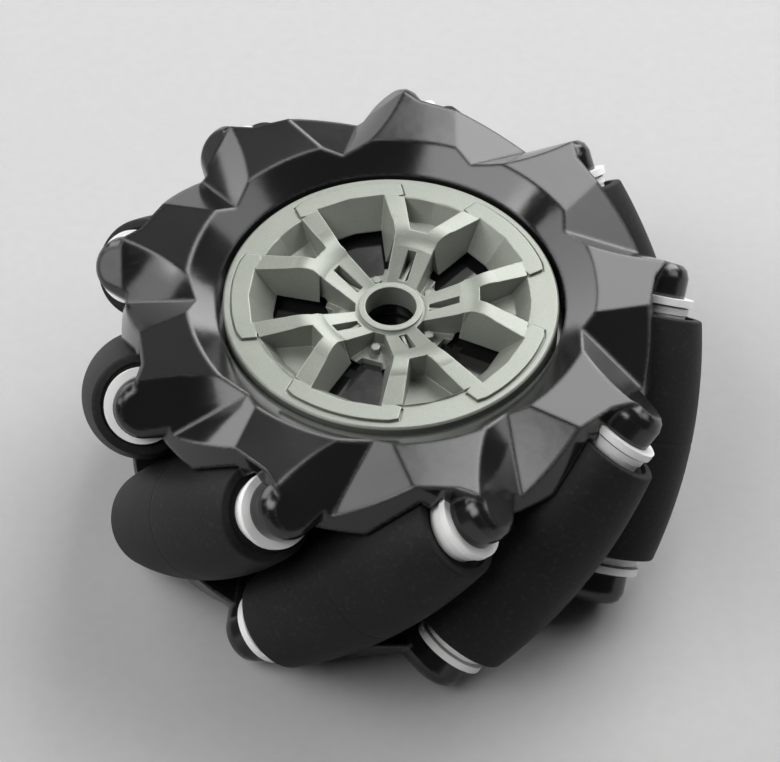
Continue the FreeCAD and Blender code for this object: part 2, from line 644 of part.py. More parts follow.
cover = new_body("wheel_cover")
cover_profile = sketch(cover, "cover_profile", UPRIGHT, [
    ("hub_hole_radius", "cover_under"),
    ("cover_hub_foot", "cover_under"),
    ("cover_hub_flare", "cover_web_under"),
    ("cover_rim_inner", "cover_web_under"),
    ("cover_rim_inner", "cover_under"),
    ("cover_radius", "cover_under"),
    ("cover_radius", "cover_ring_top - cover_edge"),
    ("cover_radius - cover_edge", "cover_ring_top"),
    ("cover_spoke_edge", "cover_ring_top"),
    ("cover_spoke_edge", "cover_band_top"),
    ("crest_out_radius", "crest_out_top", "crest_radius"),
    ("crest_in_radius", "crest_in_top"),
    ("stem_root_radius", "stem_root_top"),
    ("hub_ring_radius", "stem_root_top"),
    ("hub_ring_radius", "hub_ring_top"),
    ("hub_hole_radius", "hub_ring_top"),
])
turned(cover, "cover_dish", cover_profile)
groove_plan = sketch(cover, "band_groove_plan", level("cover_ring_top", "half_step"), [
    ("band_root_u", "0 - band_root_v - groove_width"),
    ("band_corner_u + groove_width / 2", "0 - band_corner_v - groove_width"),
    ("groove_nose_u", "0 - groove_nose_v", "groove_radius"),
    ("groove_nose_u", "groove_nose_v"),
    ("band_corner_u + groove_width / 2", "band_corner_v + groove_width"),
    ("band_root_u", "band_root_v + groove_width"),
])
groove_cut = pocket(cover, "band_groove", groove_plan, "groove_depth")
around(cover, "band_grooves", [groove_cut], "spoke_count")
band_plan = sketch(cover, "band_plan", level("band_foot", "half_step"), [
    ("band_root_u", "0 - band_root_v"),
    ("band_corner_u", "0 - band_corner_v"),
    ("band_nose_u", "0 - band_nose_v", "band_radius"),
    ("band_nose_u", "band_nose_v"),
    ("band_corner_u", "band_corner_v"),
    ("band_root_u", "band_root_v"),
])
band_pad = pad(cover, "band_end", band_plan, "cover_band_top - band_foot")
around(cover, "band_ends", [band_pad], "spoke_count")

window_mouth = sketch(cover, "window_mouth", level("mouth_plane", "half_step"), [
    ("window_mouth_mid", "0"),
    ("window_mouth_u", "window_mouth_v"),
    ("window_mouth_kink_u", "window_mouth_kink_v"),
    ("ledge_u", "window_mouth_in_v"),
    ("ledge_u", "0 - window_mouth_in_v"),
    ("window_mouth_kink_u", "0 - window_mouth_kink_v"),
    ("window_mouth_u", "0 - window_mouth_v"),
])
window_foot = sketch(cover, "window_foot", level("foot_plane", "half_step"), [
    ("window_foot_mid", "0"),
    ("window_foot_u", "window_foot_v"),
    ("window_foot_kink_u", "window_foot_kink_v"),
    ("ledge_u", "window_foot_in_v"),
    ("ledge_u", "0 - window_foot_in_v"),
    ("window_foot_kink_u", "0 - window_foot_kink_v"),
    ("window_foot_u", "0 - window_foot_v"),
])
window_cut = loft_cut(cover, "window", window_mouth, [window_foot])
ledge_plan = sketch(cover, "ledge_plan", level("ledge_top", "half_step"), [
    ("ledge_in_u", "0 - ledge_in_v"),
    ("ledge_kink_u", "0 - ledge_kink_v"),
    ("ledge_kink_u", "ledge_kink_v"),
    ("ledge_in_u", "ledge_in_v"),
])
ledge_cut = pocket(cover, "ledge", ledge_plan, "mouth_plane - ledge_top", reverse=True)
pocket_mouth = sketch(cover, "pocket_mouth", level("mouth_plane"), [
    ("pocket_mouth_mid", "0"),
    ("pocket_mouth_u", "pocket_mouth_v"),
    ("pocket_mouth_in_u", "pocket_mouth_in_v"),
    ("pocket_mouth_in_u", "0 - pocket_mouth_in_v"),
    ("pocket_mouth_u", "0 - pocket_mouth_v"),
])
pocket_foot = sketch(cover, "pocket_foot", level("pocket_floor"), [
    ("pocket_foot_mid", "0"),
    ("pocket_foot_u", "pocket_foot_v"),
    ("pocket_foot_in_u", "pocket_foot_in_v"),
    ("pocket_foot_in_u", "0 - pocket_foot_in_v"),
    ("pocket_foot_u", "0 - pocket_foot_v"),
])
pocket_cut = loft_cut(cover, "spoke_pocket", pocket_mouth, [pocket_foot])
slot_plan = sketch(cover, "slot_plan", level("slot_floor"), [
    ("slot_in", "0 - slot_width / 2"),
    ("slot_out", "0 - slot_width / 2"),
    ("slot_out", "slot_width / 2"),
    ("slot_in", "slot_width / 2"),
])
slot_cut = pocket(cover, "stem_slot", slot_plan, "mouth_plane - slot_floor", reverse=True)
around(cover, "windows", [window_cut, ledge_cut, pocket_cut, slot_cut], "spoke_count")

rib_plan = sketch(cover, "rib_plan", level("slot_floor - 0.2"), [
    ("slot_in - 0.2", "0 - rib_width / 2"),
    ("slot_out + 0.2", "0 - rib_width / 2"),
    ("slot_out + 0.2", "rib_width / 2"),
    ("slot_in - 0.2", "rib_width / 2"),
])
rib_pad = pad(cover, "stem_rib", rib_plan, "rib_top - slot_floor + 0.2")
nut_rows = []
for corner_number in range(6):
    turn = "%d deg" % (60 * corner_number)
    nut_rows.append(("nut_circle_radius + nut_radius * cos(%s)" % turn, "nut_radius * sin(%s)" % turn))
nut_plan = sketch(cover, "nut_plan", level("ledge_top - 0.2", "half_step"), nut_rows)
nut_pad = pad(cover, "nut", nut_plan, "nut_top - ledge_top + 0.2")
peg_plan = disc(cover, "peg_plan", level("cover_web_under + 0.3"), "peg_circle_radius", "0", "peg_radius")
peg_pad = pad(cover, "peg", peg_plan, "cover_web_under + 0.3 - floor_top + peg_length", reverse=True)
around(cover, "cover_details", [rib_pad, nut_pad, peg_pad], "spoke_count")


def lone_sketch(name, rows):
    """Profile in the upright plane outside any body."""
    item = doc.addObject("Sketcher::SketchObject", name)
    item.Placement = FreeCAD.Placement(FreeCAD.Vector(0, 0, 0), FreeCAD.Rotation(FreeCAD.Vector(1, 0, 0), 90))
    draw(item, rows)
    doc.recompute()
    return item


tread_profile = lone_sketch("tread_profile", [
    ("core_radius", "0 - tread_half_length + tread_end_recess"),
    ("tread_end_radius - tread_end_lip", "0 - tread_half_length + tread_end_recess"),
    ("tread_end_radius - tread_end_lip", "0 - tread_half_length"),
    ("tread_end_radius - tread_edge", "0 - tread_half_length"),
    ("tread_end_radius", "0 - tread_half_length + tread_edge", "barrel_radius"),
    ("tread_end_radius", "tread_half_length - tread_edge"),
    ("tread_end_radius - tread_edge", "tread_half_length"),
    ("tread_end_radius - tread_end_lip", "tread_half_length"),
    ("tread_end_radius - tread_end_lip", "tread_half_length - tread_end_recess"),
    ("core_radius", "tread_half_length - tread_end_recess"),
])
core_profile = lone_sketch("core_profile", [
    ("core_bore_radius", "0 - core_half_length"),
    ("core_disc_radius", "0 - core_half_length"),
    ("core_disc_radius", "0 - core_disc_start"),
    ("core_radius", "0 - core_disc_start"),
    ("core_radius", "core_disc_start"),
    ("core_disc_radius", "core_disc_start"),
    ("core_disc_radius", "core_half_length"),
    ("core_bore_radius", "core_half_length"),
])
pin_profile = lone_sketch("pin_profile", [
    ("0", "0 - pin_half_length"),
    ("pin_radius - pin_chamfer", "0 - pin_half_length"),
    ("pin_radius", "0 - pin_half_length + pin_chamfer"),
    ("pin_radius", "pin_half_length - pin_chamfer"),
    ("pin_radius - pin_chamfer", "pin_half_length"),
    ("0", "pin_half_length"),
])
for number in range(1, 10):
    turn = expand("(first_roller_angle + %d * roller_step)" % (number - 1))
    where = placement(
        (expand("pin_circle_radius") + " * cos(%s * 1 deg)" % turn,
         expand("pin_circle_radius") + " * sin(%s * 1 deg)" % turn,
         "0"),
        [("0; 0; 1", turn), ("-1; 0; 0", expand("roller_skew"))])
    for kind, profile in (("tread", tread_profile), ("core", core_profile), ("pin", pin_profile)):
        piece = doc.addObject("Part::Revolution", "roller_%s_%d" % (kind, number))
        piece.Label = "roller_%s_%d" % (kind, number)
        piece.Source = profile
        piece.Axis = FreeCAD.Vector(0, 0, 1)
        piece.Base = FreeCAD.Vector(0, 0, 0)
        piece.Angle = 360
        piece.Solid = True
        piece.setExpression("Placement", where)
doc.recompute()

nodes = ["front_frame", "rear_frame", "wheel_cover", "frame_screws", "front_washers", "rear_washers"]
for number in range(1, 10):
    for kind in ("tread", "core", "pin"):
        nodes.append("roller_%s_%d" % (kind, number))
for item in doc.Objects:
    if "Invalid" in item.State or "Error" in item.State:
        raise RuntimeError("object %s is not good: %s" % (item.Name, item.State))
os.makedirs("parts", exist_ok=True)
for node in nodes:
    shape = doc.getObjectsByLabel(node)[0].Shape
    if shape.isNull() or not shape.isValid() or not shape.Solids:
        raise RuntimeError("piece %s has no sound shape" % node)
    shape.exportStep("parts/%s.step" % node)
    box = shape.BoundBox
    print("%-16s %2d solids %9.1f mm3  z %6.2f to %6.2f  reach %5.2f" % (
        node, len(shape.Solids), shape.Volume, box.ZMin, box.ZMax, max(box.XMax, box.YMax)))
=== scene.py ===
# %% [markdown]
# # A mecanum wheel, dressed for a studio shot
# The CAD model gives every piece its real size and place. This lesson adds the
# camera, the light and the finishes: glossy black frames, a satin silver cover,
# matte rubber rollers, white nylon washers and steel pins.
# All lengths are in metres, as the CAD frame is.

# %% Load the frame
import math

import bpy
from mathutils import Matrix, Vector


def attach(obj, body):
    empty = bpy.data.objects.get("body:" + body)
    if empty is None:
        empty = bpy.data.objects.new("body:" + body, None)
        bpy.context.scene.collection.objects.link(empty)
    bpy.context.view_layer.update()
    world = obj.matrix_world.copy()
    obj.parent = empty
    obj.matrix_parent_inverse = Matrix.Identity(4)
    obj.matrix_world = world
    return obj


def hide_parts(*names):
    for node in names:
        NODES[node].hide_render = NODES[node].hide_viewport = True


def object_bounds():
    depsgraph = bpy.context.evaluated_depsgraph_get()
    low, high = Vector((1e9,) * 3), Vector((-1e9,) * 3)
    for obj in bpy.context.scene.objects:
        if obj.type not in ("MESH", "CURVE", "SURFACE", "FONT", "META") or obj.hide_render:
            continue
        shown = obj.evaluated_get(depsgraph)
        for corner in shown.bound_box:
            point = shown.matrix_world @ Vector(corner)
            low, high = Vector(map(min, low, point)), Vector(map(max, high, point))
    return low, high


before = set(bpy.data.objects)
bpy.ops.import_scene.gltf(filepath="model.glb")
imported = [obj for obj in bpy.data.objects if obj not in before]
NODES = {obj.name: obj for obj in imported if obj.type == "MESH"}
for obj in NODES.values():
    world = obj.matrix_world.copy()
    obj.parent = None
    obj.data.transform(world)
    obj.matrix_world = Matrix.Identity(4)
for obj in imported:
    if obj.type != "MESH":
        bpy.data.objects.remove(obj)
CAD_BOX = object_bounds()
print("CAD nodes", len(NODES), "box", CAD_BOX)

# %% [markdown]
# ## Camera
# The wheel lies flat and the camera looks down at it from the front. A short lens
# from close by would swell the near rollers, and a flat projection would lose the
# slight taper that the picture has, so this is a long lens from under half a metre.
# The tilt is a little steeper than the line to the cover, so that the wheel sits
# high in the picture.

# %% Camera
COVER_RING_TOP = 0.01917
SIGHT_DISTANCE = 0.4475
SIGHT_ELEVATION = math.radians(48.02)
CAMERA_TILT = math.radians(49.63)
CAMERA_ROLL = math.radians(0.71)
LENS_MM = 134.98

camera_data = bpy.data.cameras.new("camera")
camera_data.lens = LENS_MM
camera_data.sensor_width = 36.0
camera_data.sensor_fit = "HORIZONTAL"
camera_data.clip_start = 0.01
camera = bpy.data.objects.new("camera", camera_data)
eye = Vector((0.0, -math.cos(SIGHT_ELEVATION), math.sin(SIGHT_ELEVATION))) * SIGHT_DISTANCE
eye.z += COVER_RING_TOP
look = Matrix.Rotation(math.pi / 2 - CAMERA_TILT, 4, "X") @ Matrix.Rotation(CAMERA_ROLL, 4, "Z")
camera.matrix_world = Matrix.Translation(eye) @ look
bpy.context.scene.collection.objects.link(camera)
bpy.context.scene.camera = camera
print("camera at", tuple(round(v, 4) for v in eye))

# %% [markdown]
# ## Building materials from nodes
# Every finish on this wheel is moulded or turned, so none of them needs a drawn
# pattern. What the eye reads is small: a colour that drifts a little, a gloss that
# changes from place to place, and a skin that isn't quite flat. A picture could
# carry all of that, but it would blur up close and show its seams, so small helpers
# put the nodes down instead. The first two lay a node and start a material, whose
# noises read Object coordinates, so that nothing slides on a piece when it moves.


# %% Node helpers
def put(tree, kind, sockets=None, **settings):
    """Add a node; sockets maps an input's name or number to a value or to an output."""
    node = tree.nodes.new(kind)
    for name, setting in settings.items():
        setattr(node, name, setting)
    for name, value in (sockets or {}).items():
        if isinstance(value, bpy.types.NodeSocket):
            tree.links.new(value, node.inputs[name])
        else:
            node.inputs[name].default_value = value
    return node


def fresh_material(name):
    """A material with its tree, its Principled shader and its object coordinates."""
    material = bpy.data.materials.new(name)
    material.use_nodes = True
    tree = material.node_tree
    shader = tree.nodes["Principled BSDF"]
    place = put(tree, "ShaderNodeTexCoord").outputs["Object"]
    return material, tree, shader, place


print("node helpers ready")

# %% [markdown]
# ## Noise and colour
# One noise drives a colour, a gloss and a bump alike, so a dull spot is also a
# slightly paler one, as on a real piece that was handled.


# %% Noise and colour helpers
def noise(tree, place, grain, detail=2.0, stretch=None):
    """Noise whose spots are about grain metres wide, from 0 to 1."""
    if stretch:
        place = put(tree, "ShaderNodeMapping", {"Vector": place, "Scale": stretch}).outputs["Vector"]
    spots = put(tree, "ShaderNodeTexNoise", {"Vector": place, "Scale": 1.0 / grain, "Detail": detail})
    return spots.outputs["Fac"]


def spread(tree, source, low, high, start=0.3, end=0.7):
    """Turn a value between start and end into one between low and high."""
    spot = put(tree, "ShaderNodeMapRange", {"Value": source, "From Min": start, "From Max": end,
                                            "To Min": low, "To Max": high})
    return spot.outputs["Result"]


def blend(tree, amount, first, second):
    """Mix two colours, each a colour or an output."""
    mix = put(tree, "ShaderNodeMix", data_type="RGBA")
    for number, value in ((0, amount), (6, first), (7, second)):
        if isinstance(value, bpy.types.NodeSocket):
            tree.links.new(value, mix.inputs[number])
        else:
            mix.inputs[number].default_value = value
    return mix.outputs[2]


def grey(level, warm=0.0):
    """A nearly neutral colour."""
    return (level * (1 + warm), level, level * (1 - warm), 1.0)


print("a grey looks like", grey(0.5, 0.02))

# %% [markdown]
# ## Edges and skin
# The CAD pieces have knife edges, and no moulded or turned piece has. Bevelling the
# mesh would change it, so the Bevel node only turns the normals near an edge, and
# comparing them with the true ones says where an edge is, for a lighter colour there
# that is a painted highlight, on the frames partly wear as well.


# %% Edge and skin helpers
EDGE_COSINE, FACE_COSINE = 0.9, 0.995


def rounded(tree, radius):
    """Normals that turn the sharp edges of the CAD mesh into small rounds."""
    return put(tree, "ShaderNodeBevel", {"Radius": radius}, samples=6).outputs["Normal"]


def edge_mask(tree, soft_normal):
    """1 on a rounded edge and 0 on a face, from how far the normal was turned."""
    true_normal = put(tree, "ShaderNodeNewGeometry").outputs["True Normal"]
    same = put(tree, "ShaderNodeVectorMath", {0: soft_normal, 1: true_normal}, operation="DOT_PRODUCT")
    return spread(tree, same.outputs["Value"], 1.0, 0.0, EDGE_COSINE, FACE_COSINE)


def skin(tree, height, depth, normal=None):
    """Bump of a given depth in metres, over another normal."""
    sockets = {"Height": height, "Distance": depth, "Strength": 1.0}
    if normal:
        sockets["Normal"] = normal
    return put(tree, "ShaderNodeBump", sockets).outputs["Normal"]


print("edge helpers ready")

# %% [markdown]
# ## Glossy black plastic
# The two frames are injection moulded and polished in the mould. The real ones
# look almost black where they mirror nothing and mid grey where they mirror a
# lamp, so the colour stays very dark and the gloss does the work. Moulded edges
# have a small round that catches a thin line of light, which the Bevel node makes.
# Handling leaves a haze and short fine scratches in the gloss. The edges are also
# painted a lighter grey, which is partly wear and partly a painted highlight.

# %% Black plastic
LOBE_EDGE = 0.00095
HAZE_SPOT = 0.011
RUB_SPOT = 0.0016
RUB_STRETCH = (1.0, 5.0, 1.0)
FLOW_SPOT, FLOW_DEPTH = 0.0042, 0.000012
PORE_SPOT, PORE_DEPTH = 0.0005, 0.0000012
DEEP_BLACK, HAZY_BLACK, EDGE_WEAR_AND_HIGHLIGHT_GREY = grey(0.0072), grey(0.0125), grey(0.1)

black_plastic, tree, shader, place = fresh_material("black_gloss_plastic")
soft_normal = rounded(tree, LOBE_EDGE)
edges = edge_mask(tree, soft_normal)
haze = noise(tree, place, HAZE_SPOT, 4.0)
rubs = noise(tree, place, RUB_SPOT, 3.0, stretch=RUB_STRETCH)
drift = blend(tree, haze, DEEP_BLACK, HAZY_BLACK)
patchy_wear_and_highlight = spread(tree, rubs, 0.1, 0.75)
# Lighter grey along the edges: partly wear, partly a painted highlight of the light a round catches
edge_wear_and_highlight = put(tree, "ShaderNodeMath", {0: edges, 1: patchy_wear_and_highlight}, operation="MULTIPLY").outputs[0]
tree.links.new(blend(tree, edge_wear_and_highlight, drift, EDGE_WEAR_AND_HIGHLIGHT_GREY), shader.inputs["Base Color"])
haze_gloss = spread(tree, haze, 0.09, 0.15)
scratch_gloss = spread(tree, rubs, 0.0, 0.05, 0.55, 0.75)
gloss = put(tree, "ShaderNodeMath", {0: haze_gloss, 1: scratch_gloss}, operation="ADD")
tree.links.new(gloss.outputs[0], shader.inputs["Roughness"])
flow = skin(tree, noise(tree, place, FLOW_SPOT, 2.0), FLOW_DEPTH, soft_normal)
pores = skin(tree, noise(tree, place, PORE_SPOT, 2.0), PORE_DEPTH, flow)
tree.links.new(pores, shader.inputs["Normal"])
shader.inputs["IOR"].default_value = 1.53
print("black plastic", len(tree.nodes), "nodes")

# %% [markdown]
# ## Satin silver cover
# The cover is grey plastic with a silver coat, a touch warm and green. Bare metal
# would turn its shaded walls black, which they aren't, so the shader is only a part
# metal over a grey base. The coat holds fine flakes, so its gloss is broad and
# slightly grainy, and its edges are painted brighter as a painted highlight.

# %% Silver cover
COVER_EDGE = 0.00028
CLOUD_SPOT = 0.008
FLAKE_SPOT, FLAKE_DEPTH = 0.00016, 0.000003
EDGE_HIGHLIGHT_PART = 0.55
METAL_PART = 0.35
COAT_SHADE = (0.215, 0.232, 0.203, 1.0)
COAT_LIGHT = (0.265, 0.283, 0.248, 1.0)
FLAKE_COLOUR = (0.4, 0.42, 0.38, 1.0)
PAINTED_HIGHLIGHT_COLOUR = (0.42, 0.44, 0.4, 1.0)

silver_plastic, tree, shader, place = fresh_material("satin_silver_coat")
soft_normal = rounded(tree, COVER_EDGE)
edges = edge_mask(tree, soft_normal)
cloud = noise(tree, place, CLOUD_SPOT, 3.0)
flake = noise(tree, place, FLAKE_SPOT, 1.0)
base = blend(tree, cloud, COAT_SHADE, COAT_LIGHT)
flaked = blend(tree, spread(tree, flake, 0.0, 0.35, 0.5, 0.75), base, FLAKE_COLOUR)
# Brighter colour along the edges: a painted highlight
painted_edge_highlight = put(tree, "ShaderNodeMath", {0: edges, 1: EDGE_HIGHLIGHT_PART}, operation="MULTIPLY").outputs[0]
tree.links.new(blend(tree, painted_edge_highlight, flaked, PAINTED_HIGHLIGHT_COLOUR), shader.inputs["Base Color"])
tree.links.new(spread(tree, cloud, 0.33, 0.43), shader.inputs["Roughness"])
tree.links.new(skin(tree, flake, FLAKE_DEPTH, soft_normal), shader.inputs["Normal"])
shader.inputs["Metallic"].default_value = METAL_PART
print("silver coat", len(tree.nodes), "nodes")

# %% [markdown]
# ## Matte rubber
# The rollers carry moulded rubber. It has a fine open grain from the mould, a
# broad weak shine and paler, dry-looking specks where it was handled. A picture of
# rubber would stretch on a barrel, so three noises do it. The shine is kept lower
# than a plain shader's, or a pale floor would lay a grey veil on the black.

# %% Rubber
PATCH_SPOT = 0.014
GRAIN_SPOT, GRAIN_DEPTH = 0.00022, 0.000015
DUST_SPOT, DUST_DEPTH = 0.0007, 0.00003
RUBBER_SHINE = 0.15
DARK_RUBBER, PALE_RUBBER, DUST_GREY = grey(0.012), grey(0.018), grey(0.05)

rubber, tree, shader, place = fresh_material("roller_rubber")
patches = noise(tree, place, PATCH_SPOT, 4.0)
grain = noise(tree, place, GRAIN_SPOT, 2.0)
dusty = noise(tree, place, DUST_SPOT, 2.0)
base = blend(tree, spread(tree, patches, 0.0, 1.0), DARK_RUBBER, PALE_RUBBER)
dust = spread(tree, dusty, 0.0, 0.32, 0.55, 0.78)
tree.links.new(blend(tree, dust, base, DUST_GREY), shader.inputs["Base Color"])
tree.links.new(spread(tree, patches, 0.5, 0.62), shader.inputs["Roughness"])
shader.inputs["Specular IOR Level"].default_value = RUBBER_SHINE
coarse = skin(tree, dusty, DUST_DEPTH)
tree.links.new(skin(tree, grain, GRAIN_DEPTH, coarse), shader.inputs["Normal"])
print("rubber", len(tree.nodes), "nodes")

# %% [markdown]
# ## White nylon
# Washers and roller cores are natural nylon: nearly white, a little see-through
# and softly shiny, with faint marks. A plain white would look like paper, so some
# light goes in under the surface and comes out close by.

# %% Nylon
WASHER_EDGE = 0.00012
TONE_SPOT = 0.003
MARK_SPOT, MARK_DEPTH = 0.0003, 0.000006
GLOW_PART = 0.25
GLOW_REACH = (0.0012, 0.0011, 0.001)
NYLON_SHADE = (0.91, 0.91, 0.9, 1.0)
NYLON_LIGHT = (0.96, 0.96, 0.95, 1.0)

nylon, tree, shader, place = fresh_material("white_nylon")
soft_normal = rounded(tree, WASHER_EDGE)
tone = noise(tree, place, TONE_SPOT, 2.0)
marks = noise(tree, place, MARK_SPOT, 2.0)
white = blend(tree, tone, NYLON_SHADE, NYLON_LIGHT)
tree.links.new(white, shader.inputs["Base Color"])
tree.links.new(spread(tree, marks, 0.34, 0.46), shader.inputs["Roughness"])
tree.links.new(skin(tree, marks, MARK_DEPTH, soft_normal), shader.inputs["Normal"])
shader.inputs["Subsurface Weight"].default_value = GLOW_PART
shader.inputs["Subsurface Radius"].default_value = GLOW_REACH
print("nylon", len(tree.nodes), "nodes")

# %% [markdown]
# ## Plain steel
# Pins and screws are zinc-plated steel: bright, with fine brushed marks. Little of
# it shows, so one noise squeezed along an axis is enough for colour, gloss and bump.

# %% Steel
STEEL_EDGE = 0.0001
BRUSH_SPOT, BRUSH_DEPTH = 0.0004, 0.000004
BRUSH_STRETCH = (1.0, 1.0, 6.0)
STEEL_SHADE, STEEL_LIGHT = grey(0.42, 0.02), grey(0.6, 0.02)

steel, tree, shader, place = fresh_material("plated_steel")
soft_normal = rounded(tree, STEEL_EDGE)
brushed = noise(tree, place, BRUSH_SPOT, 3.0, stretch=BRUSH_STRETCH)
tree.links.new(blend(tree, brushed, STEEL_SHADE, STEEL_LIGHT), shader.inputs["Base Color"])
tree.links.new(spread(tree, brushed, 0.22, 0.38), shader.inputs["Roughness"])
tree.links.new(skin(tree, brushed, BRUSH_DEPTH, soft_normal), shader.inputs["Normal"])
shader.inputs["Metallic"].default_value = 1.0
print("steel", len(tree.nodes), "nodes")

# %% [markdown]
# ## Dressing the CAD pieces
# The frames, cover, washers, cores, pins and screws are right as they are in the
# CAD model, so each only takes a finish. Its mesh stays untouched. The first word
# that a node's name holds decides, so frame_screws is asked for before frame.

# %% Dress the CAD pieces
FINISHES = (("frame_screws", steel), ("pin", steel), ("frame", black_plastic), ("cover", silver_plastic),
            ("washers", nylon), ("core", nylon), ("tread", rubber))
for name, piece in NODES.items():
    finish = [material for word, material in FINISHES if word in name][0]
    for slot in piece.material_slots:
        slot.material = finish
print("dressed", len(NODES), "pieces")

# %% [markdown]
# ## Roller treads
# A mecanum roller is a barrel whose side follows one rule: seen along the wheel's
# axis, every point of it that touches the ground lies on the rolling circle. At a
# distance s from its middle the pin is sqrt(pin_circle^2 + (s sin skew)^2) away
# from the wheel's axis, so the rubber is rolling_radius less that. A turned curve
# or a spun profile could make it too, but Geometry Nodes write the rule once and
# make all nine from the same few sizes.

# %% Sizes of a tread
ROLLING_RADIUS = 0.0485
PIN_CIRCLE = 0.03855
SKEW = math.radians(45.0)
FIRST_ROLLER = math.radians(25.11)
ROLLERS = 9
TREAD_INPUTS = (
    ("Rolling Radius", "NodeSocketFloat", ROLLING_RADIUS),
    ("Pin Circle", "NodeSocketFloat", PIN_CIRCLE),
    ("Skew", "NodeSocketFloat", SKEW),
    ("Turn", "NodeSocketFloat", 0.0),
    ("Half Length", "NodeSocketFloat", 0.01904),
    ("Rim Round", "NodeSocketFloat", 0.0005),
    ("Lip", "NodeSocketFloat", 0.00135),
    ("Recess", "NodeSocketFloat", 0.00075),
    ("Core Radius", "NodeSocketFloat", 0.00501),
    ("Seam Half Width", "NodeSocketFloat", 0.00032),
    ("Seam Depth", "NodeSocketFloat", 0.00006),
    ("Rings", "NodeSocketInt", 61),
    ("Around", "NodeSocketInt", 112),
    ("Material", "NodeSocketMaterial", None),
)
print("tread sizes", len(TREAD_INPUTS))

# %% [markdown]
# ## Sums in a tree
# A rule in nodes is a chain of small sums. Three helpers keep it readable: one
# chains a sum over several values, one works on a single value, and one picks a
# value by a row's number.


# %% Sum helpers
def sum_up(tree, operation, *values):
    """A chain of one kind of maths over two or more numbers or outputs."""
    total = values[0]
    for value in values[1:]:
        total = put(tree, "ShaderNodeMath", {0: total, 1: value}, operation=operation).outputs[0]
    return total


def one(tree, operation, value):
    """Maths on a single number."""
    return put(tree, "ShaderNodeMath", {0: value}, operation=operation).outputs[0]


def choose(tree, index, values):
    """Pick one of several numbers by a whole number."""
    switch = put(tree, "GeometryNodeIndexSwitch", data_type="FLOAT")
    while len(switch.index_switch_items) < len(values):
        switch.index_switch_items.new()
    tree.links.new(index, switch.inputs[0])
    for number, value in enumerate(values):
        if isinstance(value, bpy.types.NodeSocket):
            tree.links.new(value, switch.inputs[number + 1])
        else:
            switch.inputs[number + 1].default_value = value
    return switch.outputs[0]


print("sum helpers ready")

# %% [markdown]
# ## Rows of the barrel
# The rubber starts as a flat grid that is later rolled up: columns run round the
# roller and rows run along it. Counting the rows from the middle lets both ends
# share one rule. The last seven rows on each side don't lie on the barrel but
# shape its end.

# %% Rows
END_ROWS = 7


def tread_rows(tree, size):
    """The grid, and for each point its angle, its side, its share of the barrel and its end row."""
    rows = sum_up(tree, "ADD", size["Rings"], 2.0 * END_ROWS)
    columns = sum_up(tree, "ADD", size["Around"], 1.0)
    grid = put(tree, "GeometryNodeMeshGrid", {"Size X": 1.0, "Size Y": 1.0,
                                              "Vertices X": columns, "Vertices Y": rows})
    position = put(tree, "GeometryNodeInputPosition").outputs[0]
    spot = put(tree, "ShaderNodeSeparateXYZ", {0: position})
    angle = sum_up(tree, "MULTIPLY", spot.outputs["X"], 2 * math.pi)
    last_row = sum_up(tree, "SUBTRACT", rows, 1.0)
    part = sum_up(tree, "ADD", spot.outputs["Y"], 0.5)
    row = one(tree, "ROUND", sum_up(tree, "MULTIPLY", part, last_row))
    middle = sum_up(tree, "DIVIDE", last_row, 2.0)
    from_middle = sum_up(tree, "SUBTRACT", row, middle)
    side = one(tree, "SIGN", from_middle)
    steps = one(tree, "ABSOLUTE", from_middle)
    barrel_steps = sum_up(tree, "SUBTRACT", middle, float(END_ROWS))
    end_row = sum_up(tree, "MAXIMUM", sum_up(tree, "SUBTRACT", steps, barrel_steps), 0.0)
    share = sum_up(tree, "MINIMUM", sum_up(tree, "DIVIDE", steps, barrel_steps), 1.0)
    return grid.outputs["Mesh"], angle, side, share, end_row


print("rows at each end", END_ROWS)

# %% [markdown]
# ## Profile of the barrel
# Each row has a distance along the pin and a radius. The rows crowd towards the
# middle, where the mould's parting seam leaves a shallow groove. At the end, three
# rows turn the rounded rim, and the rest go down the lip, into the recess round
# the nylon end disc and back along the core tube.

# %% Profile
CROWDING = 1.6
# What the rim's round still lacks of its radius, 30 and 60 degrees into its turn
LACK_AT_30 = 0.5
LACK_AT_60 = 0.134
LIP_SLOPE = 0.3


def barrel_rule(tree, size, distance):
    """Radius of the barrel at a distance from its middle."""
    run = sum_up(tree, "MULTIPLY", distance, one(tree, "SINE", size["Skew"]))
    circle_square = sum_up(tree, "MULTIPLY", size["Pin Circle"], size["Pin Circle"])
    reach = sum_up(tree, "ADD", circle_square, sum_up(tree, "MULTIPLY", run, run))
    return sum_up(tree, "SUBTRACT", size["Rolling Radius"], one(tree, "SQRT", reach))


